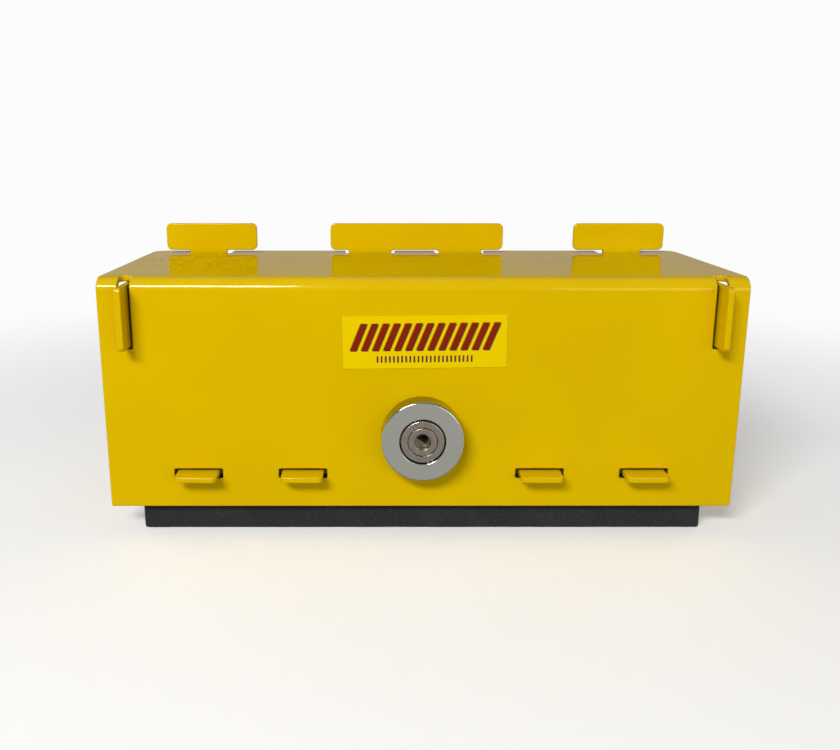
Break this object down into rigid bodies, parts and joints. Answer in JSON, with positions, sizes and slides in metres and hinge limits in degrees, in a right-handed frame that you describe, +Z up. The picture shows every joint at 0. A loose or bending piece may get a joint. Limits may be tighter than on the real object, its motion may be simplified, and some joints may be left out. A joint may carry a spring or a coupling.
{
  "type": "rodent bait station",
  "caption": "Lockable sheet-steel rodent bait station: hooked slide-off cover, cam lock in a spinning guard ring, end entrances, baffles and bait rods.",
  "frame": {"origin": "middle of the footprint, on the surface that the pad stands on", "axes": "+X along the width to the right seen from the front, +Y from the front to the back, +Z up"},
  "size_m": [0.315, 0.13, 0.1483],
  "materials": {
    "yellow_powder_coat": "gloss",
    "pad_rubber": "matt",
    "zinc_steel": "satin zinc plate",
    "label_vinyl": "gloss",
    "ring_chrome": "polished",
    "lock_nickel": "satin nickel plate",
    "disc_brass": "satin",
    "black_plastic": "moulded",
    "bait_wax": "waxy"
  },
  "bodies": {
    "body": {"base_plate": "yellow_powder_coat", "back_plate": "yellow_powder_coat", "end_plate_left": "yellow_powder_coat", "end_plate_right": "yellow_powder_coat", "base_pad": "pad_rubber", "baffle_left": "zinc_steel", "baffle_right": "zinc_steel", "lock_bracket": "zinc_steel", "bracket_bolt_left": "zinc_steel", "bracket_bolt_right": "zinc_steel", "bracket_nut_left": "zinc_steel", "bracket_nut_right": "zinc_steel"},
    "cover": {"front_cover": "yellow_powder_coat", "front_label": "label_vinyl", "lock_body": "lock_nickel", "lock_nut": "lock_nickel"},
    "guard_ring": {"guard_ring": "ring_chrome"},
    "lock_core": {"lock_core": "lock_nickel", "lock_disc_1": "disc_brass", "lock_disc_2": "disc_brass", "lock_disc_3": "disc_brass", "lock_disc_4": "disc_brass", "lock_spindle": "zinc_steel", "lock_cam": "zinc_steel", "cam_nut": "zinc_steel"},
    "rod_front": {"bait_rod_front": "zinc_steel", "rod_cap_front": "black_plastic", "bait_block_front_1": "bait_wax", "bait_block_front_2": "bait_wax", "bait_block_front_3": "bait_wax"},
    "rod_rear": {"bait_rod_rear": "zinc_steel", "rod_cap_rear": "black_plastic", "bait_block_rear_1": "bait_wax", "bait_block_rear_2": "bait_wax", "bait_block_rear_3": "bait_wax"},
    "crumb_tray": {"crumb_tray": "black_plastic"}
  },
  "joints": [
    {"name": "cover_slide", "type": "slide", "parent": "body", "child": "cover", "axis": [0, -1, 0], "range_m": [0, 0.14]},
    {"name": "guard_ring_spin", "type": "hinge", "parent": "cover", "child": "guard_ring", "pos_m": [0, -0.0535, 0.052], "axis": [0, 1, 0], "continuous": true},
    {"name": "lock_turn", "type": "hinge", "parent": "cover", "child": "lock_core", "pos_m": [0, -0.0535, 0.052], "axis": [0, 1, 0], "range_deg": [0, 90]},
    {"name": "rod_front_lift", "type": "slide", "parent": "body", "child": "rod_front", "axis": [0, 0, 1], "range_m": [0, 0.028]},
    {"name": "rod_rear_lift", "type": "slide", "parent": "body", "child": "rod_rear", "axis": [0, 0, 1], "range_m": [0, 0.028]},
    {"name": "tray_lift", "type": "slide", "parent": "body", "child": "crumb_tray", "axis": [0, 0, 1], "range_m": [0, 0.024]}
  ]
}
